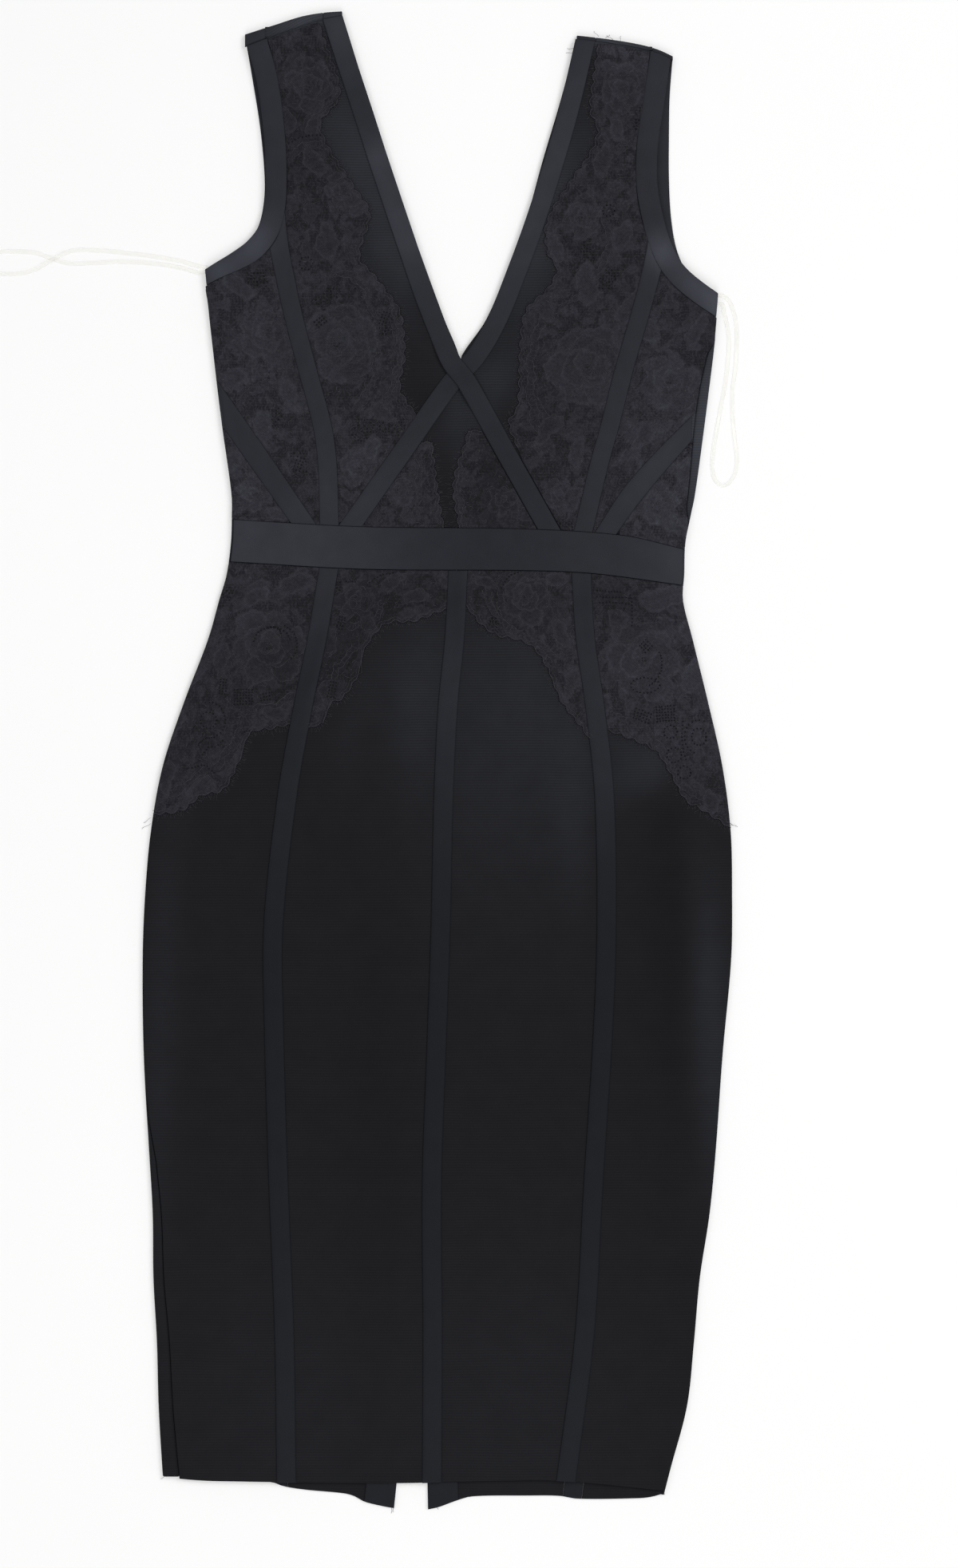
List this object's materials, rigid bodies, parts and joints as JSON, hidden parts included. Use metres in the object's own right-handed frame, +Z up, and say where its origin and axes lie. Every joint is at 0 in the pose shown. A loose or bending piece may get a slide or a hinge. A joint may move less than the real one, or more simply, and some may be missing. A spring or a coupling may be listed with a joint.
{
  "type": "fitted dress",
  "caption": "Sleeveless fitted knit dress with a deep V neck, crossed neck bands, lace appliques and a back vent, laid flat with its front up.",
  "frame": {"origin": "on the surface under the middle of the dress's outline", "axes": "+X across the dress, to the right as seen from above; +Y from the hem to the shoulders; +Z up, out of the front of the dress"},
  "size_m": [0.5202, 1.03, 0.0078],
  "materials": {
    "knit": "fine ribbed black knit",
    "band_knit": "smooth black knit band with a slight sheen",
    "lace": "black corded floral lace",
    "tape": "clear elastic tape"
  },
  "bodies": {
    "root": {"armhole_band_back_left": "band_knit", "armhole_band_back_right": "band_knit", "armhole_band_left": "band_knit", "armhole_band_right": "band_knit", "back_bodice_left": "knit", "back_bodice_right": "knit", "back_skirt_band_left": "band_knit", "back_skirt_band_right": "band_knit", "back_skirt_centre_left": "knit", "back_skirt_centre_right": "knit", "back_skirt_side_left": "knit", "back_skirt_side_right": "knit", "front_bust_left": "knit", "front_bust_right": "knit", "front_centre": "knit", "front_side_left": "knit", "front_side_right": "knit", "front_skirt_centre_left": "knit", "front_skirt_centre_right": "knit", "front_skirt_side_left": "knit", "front_skirt_side_right": "knit", "hanger_loop_left": "tape", "hanger_loop_right": "tape", "lace_bust_left": "lace", "lace_bust_right": "lace", "lace_centre_left": "lace", "lace_centre_right": "lace", "lace_hip_left": "lace", "lace_hip_right": "lace", "lace_hip_side_left": "lace", "lace_hip_side_right": "lace", "lace_side_left": "lace", "lace_side_low_left": "lace", "lace_side_low_right": "lace", "lace_side_right": "lace", "neck_band_back_left": "band_knit", "neck_band_back_right": "band_knit", "neck_band_left": "band_knit", "neck_band_right": "band_knit", "princess_band_left": "band_knit", "princess_band_right": "band_knit", "side_band_left": "band_knit", "side_band_right": "band_knit", "skirt_band_centre": "band_knit", "skirt_band_left": "band_knit", "skirt_band_right": "band_knit", "vent_facing_left": "band_knit", "vent_facing_right": "band_knit", "waistband_back_left": "band_knit", "waistband_back_right": "band_knit", "waistband_front": "band_knit"}
  },
  "joints": []
}
